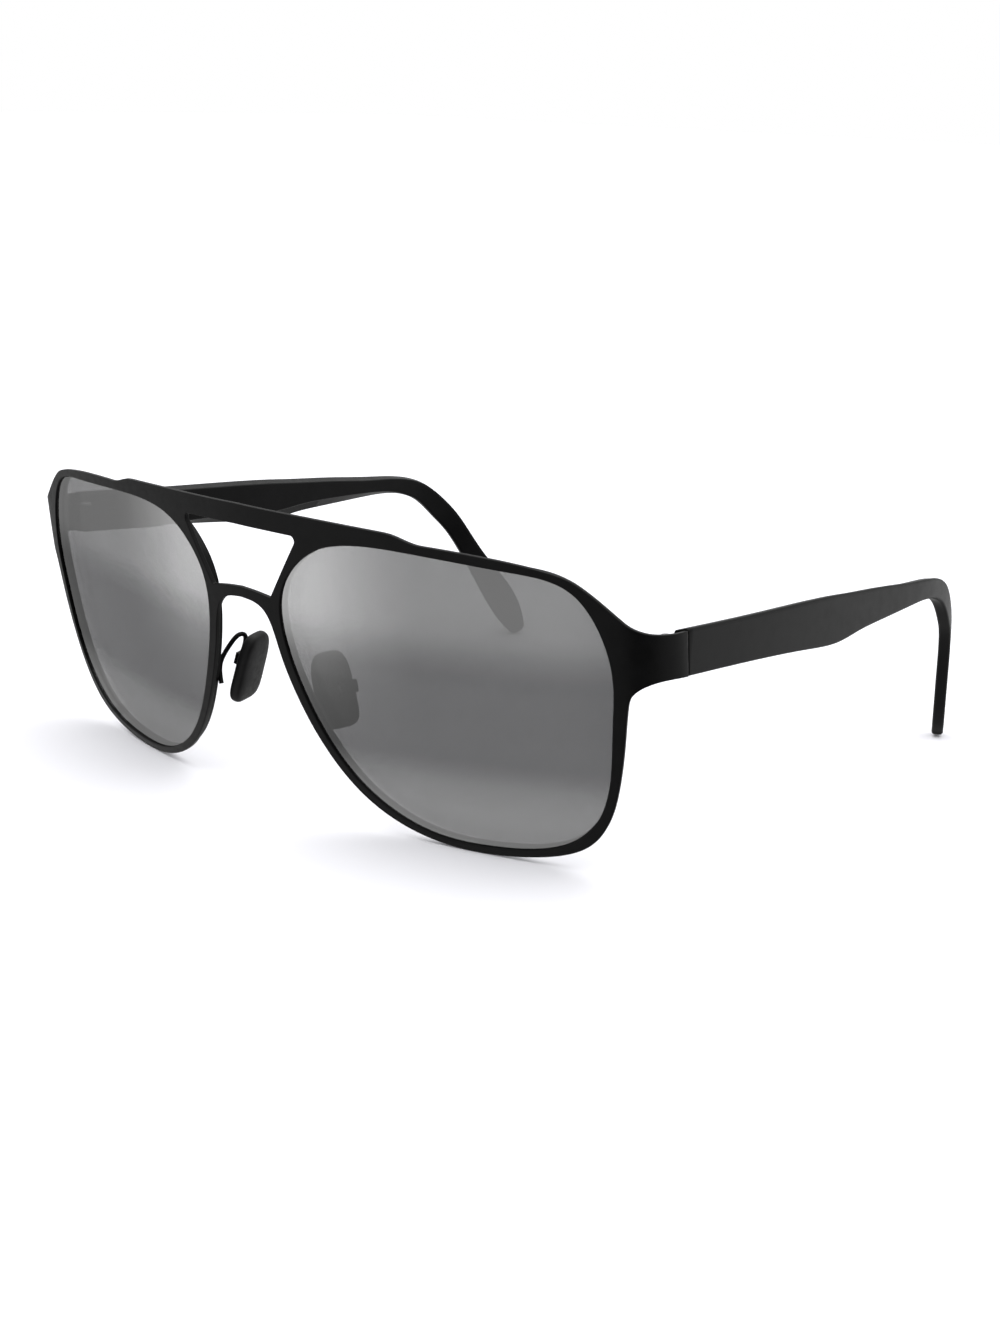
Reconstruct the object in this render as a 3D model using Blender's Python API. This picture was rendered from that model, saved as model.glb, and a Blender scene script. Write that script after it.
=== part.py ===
"""Aviator sunglasses with a double bridge, standing open on the rims' lower edges and the temple tips.

Metres, +Z up. The front looks towards -Y and the wearer's left is +X. Its sheet, wires and lenses
are laid out in a flat frame of their own: x across, z up the lenses and depth into the head. That
frame is bowed, bent back at the endpieces and leant forward by FRONT_TILT.
"""

import math

import bmesh
import bpy
import numpy as np
from mathutils import Matrix, Vector
from mathutils.geometry import delaunay_2d_cdt

MM = 0.001
SIDES = {"left": 1, "right": -1}

# Placing of the front, and the middle of the whole object from front to back
FRONT_TILT = math.radians(11.03)
FRONT_HEIGHT = 25.43 * MM
DEPTH_CENTRE = 65.9 * MM

# Curve of the front: y = FACE_WRAP |x| + FACE_BOW x^2 + FACE_DROP z^2, its keel rounded off
FACE_WRAP = 0.0415
FACE_BOW = 2.406
FACE_DROP = 2.024
KEEL = 6.0 * MM

# The endpieces bend back from the front until they run along the temples
BEND_START = 71.35 * MM
BEND_RADIUS = 8.5 * MM
TOE_IN = math.radians(4.5)
SHEET = 0.85 * MM
SHEET_STEP = 2.0 * MM

# Depths of the eyewires and lenses behind the sheet's outer face
WIRE_FRONT = SHEET + 0.06 * MM
WIRE_BACK = 2.3 * MM
GROOVE = 1.6 * MM
GROOVE_HALF = 0.42 * MM
LENS_FRONT = 0.95 * MM
LENS_BACK = 2.65 * MM
RIDGE_HALF = 0.32 * MM

# Their distances outwards from the edge of the lens opening
WIRE_LIP = 0.13 * MM
WIRE_OUTER = 0.8 * MM
GROOVE_BOTTOM = 0.56 * MM
LENS_EDGE = 0.05 * MM
LENS_RIDGE = 0.42 * MM
OPENING_POINTS = 68
LENS_RINGS = (0.3, 0.6, 0.85)

# Room left between pieces that touch
LOOSE = 0.06 * MM

# Closing blocks, which join the two ends of each eyewire behind the endpiece
SPLIT = 0.25 * MM
BLOCK_INNER = 0.86 * MM
BLOCK_OUTER = 2.35 * MM
BLOCK_HEIGHT = 2.0 * MM
CLOSING_BORE = 0.42 * MM
CLOSING_SHANK = 0.36 * MM
CLOSING_HEAD = 0.62 * MM

# Hinges, about an upright axis, with x' outwards and y' along the open temple
HINGE_AXIS = Vector((72.45 * MM, 22.3 * MM, 0.0))
HINGE_BOTTOM = 35.7 * MM
KNUCKLE_HEIGHT = 1.65 * MM
KNUCKLE_GAP = 0.1 * MM
KNUCKLE_RADIUS = 1.25 * MM
HINGE_BORE = 0.65 * MM
HINGE_SCREW = 0.59 * MM
SCREW_HEAD = 1.0 * MM
PLATE_OUT = 2.8 * MM
PLATE_IN = 2.0 * MM
PLATE_FRONT = -3.0 * MM
PLATE_END = -0.5 * MM
TEMPLE_INNER = 1.4 * MM
TEMPLE_THICK = 2.8 * MM
LEAF_THICK = 0.7 * MM
LEAF_LENGTH = 9.0 * MM

# Nose pads, their arms, cups and screws
PAD_CENTRE = Vector((10.6, 10.1, 22.1)) * MM
PAD_LEAN = math.radians(17.5)
PAD_PITCH = math.radians(5)
PAD_FLARE = math.radians(16)
PAD_LENGTH = 13.6 * MM
PAD_WIDTH = 7.4 * MM
PAD_THICK = 2.6 * MM
PAD_SQUARE = 0.7
PAD_TAPER = 0.1
INSERT_FRONT = 0.6 * MM
INSERT_BACK = 1.2 * MM
INSERT_WIDE = 1.65 * MM
INSERT_TALL = 2.6 * MM
HOLDER_BACK = 1.5 * MM
PIVOT_OUT = 0.85 * MM
ARM_RADIUS = 0.42 * MM
CUP_WIDTH = 2.7 * MM
CUP_LENGTH = 2.2 * MM
CUP_DEPTH = 1.6 * MM
CUP_START = 1.5 * MM
EAR = 0.55 * MM
PAD_BORE = 0.4 * MM
PAD_SCREW = 0.34 * MM
ARM_ROUTE = (
    (12.4, 4.75, 19.6), (13.4, 5.4, 22.9), (12.8, 6.9, 26.0), (12.0, 8.4, 27.9), (12.0, 9.8, 27.7),
)

# Lens opening of the wearer's left, from the closing block down round the lens, in mm
OPENING = (
    (69.3, 9.0), (68.9, -1.5), (66.3, -15.5), (58.8, -23.7), (46.1, -26.0), (33.3, -24.7),
    (21.5, -17.5), (12.9, -3.7), (9.2, 12.4), (12.9, 20.1), (21.0, 24.7), (37.7, 25.0),
    (54.0, 23.4), (64.1, 20.3),
)

# Half outlines of the flat sheet, in mm: its top edge, then its lower edge back to the middle
TOP_EDGE = (
    (0.0, 29.5), (10.0, 29.25), (20.8, 28.8), (30.6, 28.2), (33.5, 27.8), (37.0, 26.75),
    (40.2, 26.4), (49.8, 25.5), (57.1, 24.4), (62.1, 23.2), (64.6, 22.0), (67.8, 19.6),
    (70.4, 17.3), (72.0, 16.0), (73.7, 15.2), (76.0, 14.65), (79.4, 14.5), (83.3, 14.5),
)
LOWER_EDGE = (
    (82.9, 6.95), (80.0, 7.05), (77.0, 6.75), (74.2, 5.7), (72.5, 4.3), (71.7, 2.5),
    (70.6, -4.2), (69.1, -11.6), (66.8, -18.3), (62.3, -23.8), (54.3, -26.6), (45.4, -27.4),
    (36.5, -26.75), (27.6, -23.8), (20.1, -18.3), (14.5, -10.8), (11.2, -4.3), (8.6, 2.6),
    (7.3, 7.5), (5.9, 10.9), (3.7, 12.55), (0.0, 13.1),
)

# The gap between the two bridges: its top and bottom edges, each from the middle to a corner
GAP_TOP = ((0.0, 25.95), (7.0, 25.8), (14.3, 25.55))
GAP_BOTTOM = ((7.2, 14.1), (3.7, 14.65), (0.0, 14.95))
GAP_TOP_ROUND = 0.9
GAP_BOTTOM_ROUND = 0.35

# Middle line of a temple from the hinge to the tip: y, z, height, inset and turn in degrees
TEMPLE_LINE = (
    (22.9, 39.0, 7.8, 0.0, 0.0), (43.0, 37.95, 7.9, 0.0, 0.0), (60.0, 37.0, 8.5, 0.0, 0.0),
    (70.5, 36.4, 8.6, 0.0, 0.0), (78.0, 36.55, 7.2, 0.0, 0.0), (87.0, 36.6, 5.9, 0.0, 0.0),
    (97.0, 36.5, 4.4, 0.0, 0.0), (104.5, 36.25, 3.8, 0.2, 4.0), (111.3, 34.35, 4.1, 0.9, 15.0),
    (116.4, 30.0, 4.6, 2.05, 24.0), (119.8, 26.0, 4.4, 3.2, 26.5), (124.5, 18.0, 4.75, 5.45, 26.5),
    (129.2, 10.0, 6.4, 7.9, 26.5), (131.9, 4.7, 5.7, 9.3, 26.5), (133.2, 1.8, 3.9, 10.0, 26.5),
)
TEMPLE_STEPS = 34
END_LEAN = math.radians(6)
TEMPLE_ROUND = 0.55 * MM
HOOK_THICK = 2.3 * MM
HOOK_START = 95.0 * MM
HOOK_FULL = 118.0 * MM

# The inner face is a little lower along its top, and cut away below where the temple is deepest
CROWN = 0.5 * MM
BEVEL = 1.9 * MM
BEVEL_MIDDLE = 74.0 * MM
BEVEL_HALF = 34.0 * MM

CORE_RADIUS = 0.6 * MM
CORE_BORE = 0.68 * MM
CORE_STATIONS = 30

BLACK = (0.012, 0.012, 0.013)


def clear_scene():
    for obj in list(bpy.data.objects):
        bpy.data.objects.remove(obj, do_unlink=True)


def material(name, colour, roughness, metallic=0.0, alpha=1.0):
    made = bpy.data.materials.new(name)
    made.use_nodes = True
    shader = made.node_tree.nodes["Principled BSDF"]
    shader.inputs["Base Color"].default_value = (*colour, 1.0)
    shader.inputs["Roughness"].default_value = roughness
    shader.inputs["Metallic"].default_value = metallic
    shader.inputs["Alpha"].default_value = alpha
    return made


def cubic(points, closed=False, per_span=12):
    """Dense points along the cubic spline through the given ones."""
    knots = np.array([tuple(point) for point in points], float)
    if closed:
        knots = np.vstack([knots, knots[:1]])
    spans = np.sqrt(np.linalg.norm(np.diff(knots, axis=0), axis=1))
    size = len(knots)
    matrix = np.zeros((size, size))
    right = np.zeros_like(knots)
    slopes = np.diff(knots, axis=0) / spans[:, None]
    for k in range(1, size - 1):
        matrix[k, k - 1 : k + 2] = (spans[k], 2 * (spans[k - 1] + spans[k]), spans[k - 1])
        right[k] = 3 * (spans[k] * slopes[k - 1] + spans[k - 1] * slopes[k])
    if closed:
        matrix[0, [0, 1, -2]] = (2 * (spans[-1] + spans[0]), spans[-1], spans[0])
        right[0] = 3 * (spans[0] * slopes[-1] + spans[-1] * slopes[0])
        matrix[-1, [0, -1]] = (1, -1)
    else:
        matrix[0, :2] = (2, 1)
        right[0] = 3 * slopes[0]
        matrix[-1, -2:] = (1, 2)
        right[-1] = 3 * slopes[-1]
    tangents = np.linalg.solve(matrix, right)
    made = []
    for k in range(size - 1):
        for t in np.arange(per_span) / per_span:
            rise = t * t * (3 - 2 * t)
            lead = t * (1 - t) ** 2 * tangents[k] - t * t * (1 - t) * tangents[k + 1]
            made.append(knots[k] * (1 - rise) + knots[k + 1] * rise + spans[k] * lead)
    if not closed:
        made.append(knots[-1])
    return [Vector(point) for point in made]


def evenly(line, steps):
    """The same open line in this many equal steps."""
    lengths = [0.0]
    for a, b in zip(line, line[1:]):
        lengths.append(lengths[-1] + (b - a).length)
    made = []
    span = 0
    for k in range(steps + 1):
        target = lengths[-1] * k / steps
        while span < len(line) - 2 and lengths[span + 1] < target:
            span += 1
        part = (target - lengths[span]) / (lengths[span + 1] - lengths[span])
        made.append(line[span].lerp(line[span + 1], min(part, 1.0)))
    return made


def spaced(line, step):
    length = sum((b - a).length for a, b in zip(line, line[1:]))
    return evenly(line, max(1, round(length / step)))


def round_corner(before, corner, after, radius, steps=4):
    """An arc that replaces the corner of two straight edges."""
    to_before = (before - corner).normalized()
    to_after = (after - corner).normalized()
    half = to_before.angle(to_after) / 2
    centre = corner + (to_before + to_after).normalized() * (radius / math.sin(half))
    first = (corner + to_before * (radius / math.tan(half)) - centre).normalized()
    last = (corner + to_after * (radius / math.tan(half)) - centre).normalized()
    return [centre + radius * first.slerp(last, k / steps) for k in range(steps + 1)]


def metres(points):
    return [Vector(point) * MM for point in points]


def face_curve(x):
    """Depth and heading of the front's curve at this distance from the middle."""
    keel = math.hypot(x, KEEL)
    depth = FACE_WRAP * keel + FACE_BOW * x * x
    return depth, math.atan(FACE_WRAP * x / keel + 2 * FACE_BOW * x)


def sheet_path(x):
    """x, depth and heading of the front's curve, whose flat frame runs on round the endpiece."""
    if x <= BEND_START:
        depth, heading = face_curve(x)
        return x, depth, heading
    depth, start = face_curve(BEND_START)
    turn = math.pi / 2 + TOE_IN - start
    run = min(x - BEND_START, turn * BEND_RADIUS)
    heading = start + run / BEND_RADIUS
    along = BEND_START + BEND_RADIUS * (math.sin(heading) - math.sin(start))
    depth += BEND_RADIUS * (math.cos(start) - math.cos(heading))
    rest = x - BEND_START - run
    return along + rest * math.cos(heading), depth + rest * math.sin(heading), heading


def stood(point):
    """A point of the front's upright frame, leant forward into world space."""
    sine = math.sin(FRONT_TILT)
    cosine = math.cos(FRONT_TILT)
    x, y, z = point
    return Vector((x, cosine * y - sine * z, sine * y + cosine * z + FRONT_HEIGHT))


def face(x, z, depth=0.0):
    """World point at this place of the flat front, this deep behind its outer face."""
    side = -1 if x < 0 else 1
    along, back, heading = sheet_path(abs(x))
    level = z - math.tan(FRONT_TILT) * max(0.0, back - face_curve(BEND_START)[0])
    inward = Vector((-math.sin(heading), math.cos(heading), -2 * FACE_DROP * z)).normalized()
    point = Vector((along, back + FACE_DROP * z * z, level)) + inward * depth
    return stood((side * point.x, point.y, point.z))


def build(name, verts, faces, look, side=1, origin=None, smooth=None):
    """An object from a mesh made for the wearer's left, mirrored for the right."""
    pivot = Vector(origin) if origin else Vector((0.0, DEPTH_CENTRE, 0.0))
    mesh = bpy.data.meshes.new(name)
    flip = Matrix.Diagonal((side, 1, 1)).to_4x4()
    mesh.from_pydata([flip @ (Vector(vert) - pivot) for vert in verts], [], faces)
    work = bmesh.new()
    work.from_mesh(mesh)
    bmesh.ops.recalc_face_normals(work, faces=work.faces)
    if work.calc_volume(signed=True) < 0:
        bmesh.ops.reverse_faces(work, faces=work.faces)
    work.to_mesh(mesh)
    work.free()
    obj = bpy.data.objects.new(name, mesh)
    obj.location = flip @ (pivot - Vector((0.0, DEPTH_CENTRE, 0.0)))
    obj.data.materials.append(look)
    if smooth:
        mesh.shade_smooth()
        mesh.set_sharp_from_angle(angle=smooth)
    bpy.context.scene.collection.objects.link(obj)
    return obj


def loft(rings, closed=False):
    """Verts and faces of a skin over equal rings, capped at both ends unless it closes on itself."""
    size = len(rings[0])
    verts = [point for ring in rings for point in ring]
    faces = []
    for k in range(len(rings) if closed else len(rings) - 1):
        after = (k + 1) % len(rings)
        for j in range(size):
            turn = (j + 1) % size
            faces.append((k * size + j, k * size + turn, after * size + turn, after * size + j))
    if not closed:
        faces.append(tuple(range(size)))
        faces.append(tuple(len(verts) - size + j for j in range(size)))
    return verts, faces


def disc(centre, normal, radius, sides=16):
    across = normal.orthogonal().normalized()
    up = normal.cross(across).normalized()
    turns = (2 * math.pi * k / sides for k in range(sides))
    return [centre + radius * (math.cos(t) * across + math.sin(t) * up) for t in turns]


def turned(start, axis, profile, sides=16):
    """A turned piece: rings of the given (distance along the axis, radius) pairs."""
    return loft([disc(start + axis * along, axis, radius, sides) for along, radius in profile])


def tube(line, radius, sides=8):
    """A round wire along a line, with its rings turned as little as possible."""
    rings = []
    across = None
    for k, point in enumerate(line):
        ahead = line[min(k + 1, len(line) - 1)]
        behind = line[max(k - 1, 0)]
        tangent = (ahead - behind).normalized()
        across = across or tangent.orthogonal()
        across = (across - across.dot(tangent) * tangent).normalized()
        up = tangent.cross(across)
        turns = (2 * math.pi * j / sides for j in range(sides))
        rings.append([point + radius * (math.cos(t) * across + math.sin(t) * up) for t in turns])
    return loft(rings)


def prism(outline, low, high, frame=Matrix.Identity(4)):
    """An outline in x and y, drawn up from low to high in the given frame."""
    return loft([[frame @ Vector((x, y, level)) for x, y in outline] for level in (low, high)])


def block(low, high, frame=Matrix.Identity(4)):
    outline = ((low[0], low[1]), (high[0], low[1]), (high[0], high[1]), (low[0], high[1]))
    return prism(outline, low[2], high[2], frame)


def combine(obj, operation, shape, side, origin):
    """Joins or cuts an object with a helper shape that is left out of the part."""
    helper = build(obj.name + "_" + operation.lower(), *shape, obj.data.materials[0], side, origin)
    helper.hide_render = True
    helper.display_type = "WIRE"
    modifier = obj.modifiers.new(operation.title(), "BOOLEAN")
    modifier.operation = operation
    modifier.object = helper


def inside(point, loops):
    """Whether a flat point is inside an odd number of the loops."""
    odd = False
    for loop in loops:
        for a, b in zip(loop, loop[1:] + loop[:1]):
            if (a.y > point.y) != (b.y > point.y):
                odd ^= point.x < a.x + (point.y - a.y) * (b.x - a.x) / (b.y - a.y)
    return odd


def opening():
    """The lens opening's outline, as points and their outward directions."""
    line = cubic(metres(OPENING), closed=True)
    points = evenly(line + line[:1], OPENING_POINTS)[:-1]
    size = len(points)
    outward = []
    for k in range(size):
        along = (points[(k + 1) % size] - points[k - 1]).normalized()
        outward.append(Vector((-along.y, along.x)))
    middle = sum(points, Vector((0.0, 0.0))) / size
    if outward[0].dot(points[0] - middle) < 0:
        outward = [-way for way in outward]
    return points, outward


def mirrored(half):
    """A half outline and its mirror image, as one closed loop without doubled middle points."""
    other = [Vector((-point.x, point.y)) for point in reversed(half)]
    return half + [point for point in other if point.x < -1e-9]


def sheet_outline():
    top = spaced(cubic(metres(TOP_EDGE)), SHEET_STEP)
    low = spaced(cubic(metres(LOWER_EDGE)), SHEET_STEP)
    half = top + low
    fine = []
    for a, b in zip(half, half[1:]):
        fine.append(a)
        if min(a.x, b.x) > BEND_START - SHEET_STEP and (b - a).length > SHEET_STEP / 2:
            parts = 3 if (b - a).length > 2 * SHEET_STEP else 2
            fine += [a.lerp(b, k / parts) for k in range(1, parts)]
    return mirrored(fine + [half[-1]])


def gap_outline():
    top = metres(GAP_TOP)
    low = metres(GAP_BOTTOM)
    upper = round_corner(top[-2], top[-1], low[0], GAP_TOP_ROUND * MM)
    lower = round_corner(top[-1], low[0], low[1], GAP_BOTTOM_ROUND * MM, 2)
    half = spaced(cubic([top[0], top[1], upper[0]]), SHEET_STEP)[:-1] + upper
    half += spaced([upper[-1], lower[0]], SHEET_STEP)[1:-1] + lower
    return mirrored(half + spaced(cubic([lower[-1], low[1], low[2]]), SHEET_STEP)[1:])


def sheet_loops():
    hole, _ = opening()
    other = [Vector((-point.x, point.y)) for point in reversed(hole)]
    return [sheet_outline(), gap_outline(), hole, other]


def sheet_fill(loops):
    """Points inside the sheet that let it follow its curve between the edges."""
    edge = [point for loop in loops for point in loop]
    columns = [k * 3.2 * MM for k in range(-22, 23)]
    columns += [way * (BEND_START + k * 1.1 * MM) for way in (1, -1) for k in range(8)]
    made = []
    for x in columns:
        for row in range(13):
            point = Vector((x, 9.0 * MM + row * 1.7 * MM))
            if inside(point, loops) and min((point - other).length for other in edge) > 0.75 * MM:
                made.append(point)
    return made


def front_frame(look):
    """One sheet: both rims, the top bar, the lower bridge and the endpieces, cut flat and bent."""
    loops = sheet_loops()
    points = [point for loop in loops for point in loop]
    edges = []
    start = 0
    for loop in loops:
        size = len(loop)
        edges += [(start + k, start + (k + 1) % size) for k in range(size)]
        start += size
    points += sheet_fill(loops)
    flat = [point / MM for point in points]
    placed, _, triangles, *_ = delaunay_2d_cdt(flat, edges, [], 0, 1e-5)
    kept = []
    for triangle in triangles:
        middle = sum((placed[k] for k in triangle), Vector((0.0, 0.0))) / 3
        if inside(middle * MM, loops):
            kept.append(tuple(triangle))
    size = len(placed)
    verts = [face(point.x * MM, point.y * MM) for point in placed]
    verts += [face(point.x * MM, point.y * MM, SHEET) for point in placed]
    faces = kept + [tuple(size + k for k in reversed(triangle)) for triangle in kept]
    sides = {(a, b) for triangle in kept for a, b in zip(triangle, triangle[1:] + triangle[:1])}
    faces += [(b, a, size + a, size + b) for a, b in sides if (b, a) not in sides]
    return build("front_frame", verts, faces, look, smooth=math.radians(35))


def rim_wire(name, side, look):
    """The grooved eyewire behind the sheet, open where the closing blocks meet."""
    points, outward = opening()
    count = len(points)
    section = (
        (WIRE_LIP, WIRE_FRONT), (WIRE_LIP, GROOVE - GROOVE_HALF), (GROOVE_BOTTOM, GROOVE),
        (WIRE_LIP, GROOVE + GROOVE_HALF), (WIRE_LIP, WIRE_BACK), (WIRE_OUTER, WIRE_BACK),
        (WIRE_OUTER, WIRE_FRONT),
    )
    rings = []
    for k in range(count + 1):
        shift = {0: 1, count: -1}.get(k, 0)
        near = points[(k + shift) % count]
        at = points[k % count]
        if shift:
            at = at + (near - at).normalized() * SPLIT
        way = outward[k % count]
        rings.append([face(at.x + way.x * u, at.y + way.y * u, depth) for u, depth in section])
    return build(name, *loft(rings), look, side, smooth=math.radians(30))


def lens(name, side, look):
    """A curved lens with a V ridge round its edge that sits in the eyewire's groove."""
    points, outward = opening()
    size = len(points)
    middle = sum(points, Vector((0.0, 0.0))) / size

    def ring(shrink, u, depth):
        flat = [middle.lerp(point + way * u, shrink) for point, way in zip(points, outward)]
        return [face(at.x, at.y, depth) for at in flat]

    rings = [ring(shrink, LENS_EDGE, LENS_FRONT) for shrink in LENS_RINGS]
    for u, depth in (
        (LENS_EDGE, LENS_FRONT), (LENS_EDGE, GROOVE - RIDGE_HALF), (LENS_RIDGE, GROOVE),
        (LENS_EDGE, GROOVE + RIDGE_HALF), (LENS_EDGE, LENS_BACK),
    ):
        rings.append(ring(1.0, u, depth))
    rings += [ring(shrink, LENS_EDGE, LENS_BACK) for shrink in reversed(LENS_RINGS)]
    verts, faces = loft(rings)
    faces = [corners for corners in faces if len(corners) == 4]
    for depth, start in ((LENS_FRONT, 0), (LENS_BACK, len(verts) - size)):
        centre = len(verts)
        verts.append(face(middle.x, middle.y, depth))
        faces += [(start + j, start + (j + 1) % size, centre) for j in range(size)]
    return build(name, verts, faces, look, side, smooth=math.radians(35))


def closing_frame():
    """Axes at the eyewire's split: x outwards, y into the head, z up along the rim."""
    points, outward = opening()
    at = points[0]
    along = Vector((-outward[0].y, outward[0].x)) * MM
    origin = face(at.x, at.y)
    inward = (face(at.x, at.y, SHEET) - origin).normalized()
    up = (face(at.x + along.x, at.y + along.y) - origin).normalized()
    out = inward.cross(up).normalized()
    frame = Matrix((out, inward, out.cross(inward))).transposed().to_4x4()
    frame.translation = origin
    return frame


def closing_blocks(tag, side, looks):
    """The two blocks that pull the eyewire's ends together, and their screw."""
    frame = closing_frame()
    middle = (BLOCK_INNER + BLOCK_OUTER) / 2
    depth = (WIRE_FRONT + WIRE_BACK) / 2
    axis = frame.to_3x3() @ Vector((0, 0, 1))
    foot = frame @ Vector((middle, depth, -SPLIT - BLOCK_HEIGHT))
    for word, low in (("upper", SPLIT), ("lower", -SPLIT - BLOCK_HEIGHT)):
        corner = (BLOCK_INNER, WIRE_FRONT + LOOSE, low)
        shape = block(corner, (BLOCK_OUTER, WIRE_BACK, low + BLOCK_HEIGHT), frame)
        made = build(f"closing_block_{word}_{tag}", *shape, looks["black"], side)
        bore = turned(foot - axis * MM, axis, ((0, CLOSING_BORE), (7 * MM, CLOSING_BORE)))
        combine(made, "DIFFERENCE", bore, side, None)
    length = 2 * BLOCK_HEIGHT + 2 * SPLIT
    profile = (
        (-0.5 * MM, 0.75 * CLOSING_HEAD), (-0.3 * MM, CLOSING_HEAD), (-LOOSE, CLOSING_HEAD),
        (-LOOSE, CLOSING_SHANK), (length - 0.1 * MM, CLOSING_SHANK),
    )
    build(f"closing_screw_{tag}", *turned(foot, axis, profile, 14), looks["steel"], side)


def hinge_frame():
    turn = Matrix.Rotation(TOE_IN, 4, "Z")
    return Matrix.Translation(HINGE_AXIS) @ turn


def knuckle_levels(index):
    low = HINGE_BOTTOM + index * (KNUCKLE_HEIGHT + KNUCKLE_GAP)
    return low, low + KNUCKLE_HEIGHT


def arc(radius, start, end, steps):
    angles = (math.radians(start + (end - start) * k / steps) for k in range(steps + 1))
    return [(radius * math.cos(angle), radius * math.sin(angle)) for angle in angles]


def hinge_hardware(tag, side, looks):
    """Two knuckles on the endpiece, one on the temple's leaf, and the screw through them."""
    frame = hinge_frame()
    up = Vector((0, 0, 1))
    bottom = knuckle_levels(0)[0]
    top = knuckle_levels(2)[1]
    outline = arc(KNUCKLE_RADIUS, 0, 250, 12)
    outline += [(PLATE_IN, PLATE_FRONT + MM), (PLATE_IN, PLATE_FRONT), (PLATE_OUT, PLATE_FRONT)]
    outline += [(PLATE_OUT, PLATE_END), (PLATE_IN, PLATE_END)]
    front = build(f"hinge_front_{tag}", *prism(outline, bottom, top, frame), looks["black"], side)
    low, high = knuckle_levels(1)
    room = KNUCKLE_RADIUS + 0.15 * MM
    slot_low = (-3 * MM, PLATE_FRONT - MM, low - KNUCKLE_GAP)
    slot = block(slot_low, (room, 3 * MM, high + KNUCKLE_GAP), frame)
    combine(front, "DIFFERENCE", slot, side, None)
    depth = top - bottom + 2 * MM
    bore = turned(HINGE_AXIS + up * (bottom - MM), up, ((0, HINGE_BORE), (depth, HINGE_BORE)))
    combine(front, "DIFFERENCE", bore, side, None)

    leaf_out = TEMPLE_INNER - LOOSE
    leaf_in = leaf_out - LEAF_THICK
    outline = arc(KNUCKLE_RADIUS, 60, 330, 14) + [(leaf_out, LEAF_LENGTH), (leaf_in, LEAF_LENGTH)]
    leaf = build(f"hinge_temple_{tag}", *prism(outline, low, high, frame), looks["black"], side,
                 HINGE_AXIS)
    combine(leaf, "DIFFERENCE", bore, side, HINGE_AXIS)
    length = top - bottom + LOOSE
    profile = (
        (0.1 * MM, HINGE_SCREW), (length, HINGE_SCREW), (length, SCREW_HEAD),
        (length + 0.25 * MM, SCREW_HEAD), (length + 0.45 * MM, 0.75 * SCREW_HEAD),
    )
    screw = turned(HINGE_AXIS + up * bottom, up, profile)
    build(f"hinge_screw_{tag}", *screw, looks["steel"], side)


def temple_middle(point):
    """World point of the temple's middle line at this row of TEMPLE_LINE, already in metres."""
    start = hinge_frame() @ Vector((TEMPLE_INNER + TEMPLE_THICK / 2, 0, 0))
    across = start.x - math.tan(TOE_IN) * (point[0] - start.y) - point[3]
    return Vector((across, point[0], point[1]))


def temple_stations():
    """Middle points, with their run, rise and inward directions, and the sizes of their sections."""
    rows = evenly(cubic([(*row[:4], 0.1 * row[4]) for row in TEMPLE_LINE]), TEMPLE_STEPS)
    rows = [[value * MM for value in row] for row in rows]
    places = [temple_middle(row) for row in rows]
    stations = []
    for k, (y, _, height, _, turn) in enumerate(rows):
        ahead = places[min(k + 1, TEMPLE_STEPS)]
        run = (ahead - places[max(k - 1, 0)]).normalized()
        if k == 0:
            run = Vector((-math.sin(TOE_IN), math.cos(TOE_IN), math.tan(END_LEAN))).normalized()
        heading = TOE_IN + math.radians(10 * turn / MM)
        out = Vector((math.cos(heading), math.sin(heading), 0))
        out = (out - out.dot(run) * run).normalized()
        part = min(1.0, max(0.0, (y - HOOK_START) / (HOOK_FULL - HOOK_START)))
        thick = TEMPLE_THICK + (HOOK_THICK - TEMPLE_THICK) * part
        bevel = BEVEL * max(0.0, 1 - ((y - BEVEL_MIDDLE) / BEVEL_HALF) ** 2)
        crown = CROWN * (1 - part)
        stations.append((places[k], run, out.cross(run), -out, height, thick, crown, bevel))
    return stations


def temple_ring(station, shrink=1.0):
    """A section of the temple: a rectangle with rounded corners, its lower inner one cut away."""
    middle, _, rise, inward, height, thick, crown, bevel = station
    wide = thick * max(shrink, 0.6) / 2
    tall = height * shrink / 2
    corner = min(TEMPLE_ROUND, 0.9 * wide)
    ring = []
    for x, z, start in ((1, 1, 0), (-1, 1, 90), (-1, -1, 180), (1, -1, 270)):
        lift = {(1, 1): -crown, (1, -1): bevel}.get((x, z), 0.0)
        for step in range(3):
            angle = math.radians(start + 45 * step)
            across = x * (wide - corner) + corner * math.cos(angle)
            up = z * (tall - corner) + corner * math.sin(angle) + lift
            ring.append(middle + inward * across + rise * up)
    return ring


def temple(name, side, look):
    """The moulded arm, with a bore from its front end for the core wire."""
    stations = temple_stations()
    rings = [temple_ring(station) for station in stations]
    last = stations[-1]
    for out, shrink in ((0.9 * MM, 0.85), (1.5 * MM, 0.5)):
        tip = (last[0] + last[1] * out, *last[1:])
        rings.append(temple_ring(tip, shrink))
    arm = build(name, *loft(rings), look, side, HINGE_AXIS, math.radians(40))
    line = core_line()
    line[0] = line[0] + (line[0] - line[1]) / 2
    combine(arm, "DIFFERENCE", tube(line, CORE_BORE, 10), side, HINGE_AXIS)
    return arm


def core_line():
    return [station[0] for station in temple_stations()[: CORE_STATIONS + 1]]


def core_wire(name, side, look):
    line = core_line()
    line[0] = line[0].lerp(line[1], 0.15)
    line[-1] = line[-2].lerp(line[-1], 0.8)
    return build(name, *tube(line, CORE_RADIUS), look, side, HINGE_AXIS, math.radians(40))


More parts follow.
